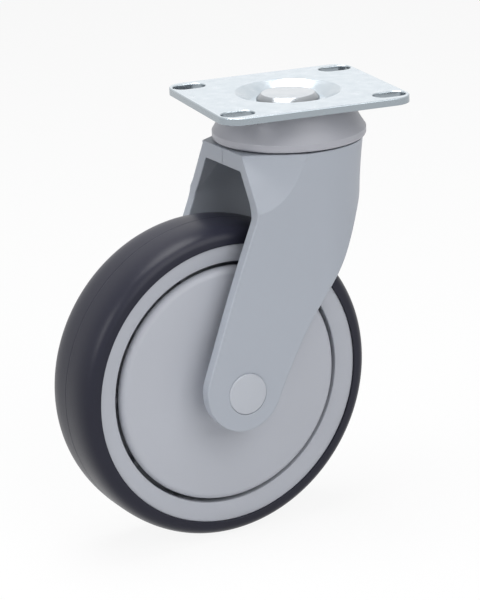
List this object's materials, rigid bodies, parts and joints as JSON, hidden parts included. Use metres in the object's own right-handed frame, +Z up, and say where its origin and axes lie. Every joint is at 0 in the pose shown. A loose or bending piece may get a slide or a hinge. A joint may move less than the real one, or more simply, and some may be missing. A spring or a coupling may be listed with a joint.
{
  "type": "swivel castor",
  "caption": "Swivel castor with a rectangular slotted plate, a moulded fork and a rubber-tyred wheel with thread guards.",
  "frame": {"origin": "centre of the plate's mounting face, on the swivel axis", "axes": "+Z up out of the mounting face, +X along the plate's longer side; at rest the wheel trails towards -X"},
  "size_m": [0.1393, 0.0699, 0.1695],
  "materials": {
    "plate_steel": "satin",
    "pin_steel": "satin",
    "race_steel": "satin",
    "fork_plastic": "satin",
    "wheel_plastic": "satin",
    "trim_plastic": "satin",
    "tread_rubber": "matte"
  },
  "bodies": {
    "mount": {"top_plate": "plate_steel", "king_pin": "pin_steel", "dust_cover": "fork_plastic", "upper_race": "race_steel", "lower_race": "race_steel", "king_pin_washer": "pin_steel", "king_pin_nut": "pin_steel"},
    "fork": {"fork": "fork_plastic", "bearing_cup": "race_steel", "axle_bolt": "pin_steel", "axle_nut": "pin_steel", "axle_sleeve": "pin_steel", "axle_washer_left": "pin_steel", "axle_washer_right": "pin_steel", "axle_cap_left": "trim_plastic", "axle_cap_right": "trim_plastic", "thread_guard_left": "wheel_plastic", "thread_guard_right": "wheel_plastic", "bearing_inner_left": "race_steel", "bearing_inner_right": "race_steel"},
    "wheel": {"wheel_core": "wheel_plastic", "tyre": "tread_rubber", "bearing_outer_left": "race_steel", "bearing_outer_right": "race_steel"},
    "swivel_balls": {"upper_balls": "race_steel", "upper_cage": "trim_plastic", "lower_balls": "race_steel", "lower_cage": "trim_plastic"},
    "wheel_balls": {"wheel_balls_left": "race_steel", "wheel_balls_right": "race_steel", "wheel_cage_left": "trim_plastic", "wheel_cage_right": "trim_plastic"}
  },
  "joints": [
    {"name": "swivel", "type": "hinge", "parent": "mount", "child": "fork", "pos_m": [0, 0, 0], "axis": [0, 0, 1], "continuous": true},
    {"name": "wheel_spin", "type": "hinge", "parent": "fork", "child": "wheel", "pos_m": [-0.03803, -0.00534, -0.107], "axis": [-0.1392, 0.9903, 0], "continuous": true},
    {"name": "swivel_balls_roll", "type": "hinge", "parent": "mount", "child": "swivel_balls", "pos_m": [0, 0, 0], "axis": [0, 0, 1], "continuous": true},
    {"name": "wheel_balls_roll", "type": "hinge", "parent": "fork", "child": "wheel_balls", "pos_m": [-0.03803, -0.00534, -0.107], "axis": [-0.1392, 0.9903, 0], "continuous": true}
  ],
  "couplings": [
    {"joint": "swivel_balls_roll", "follows": "swivel", "ratio": 0.5},
    {"joint": "wheel_balls_roll", "follows": "wheel_spin", "ratio": 0.6315}
  ]
}
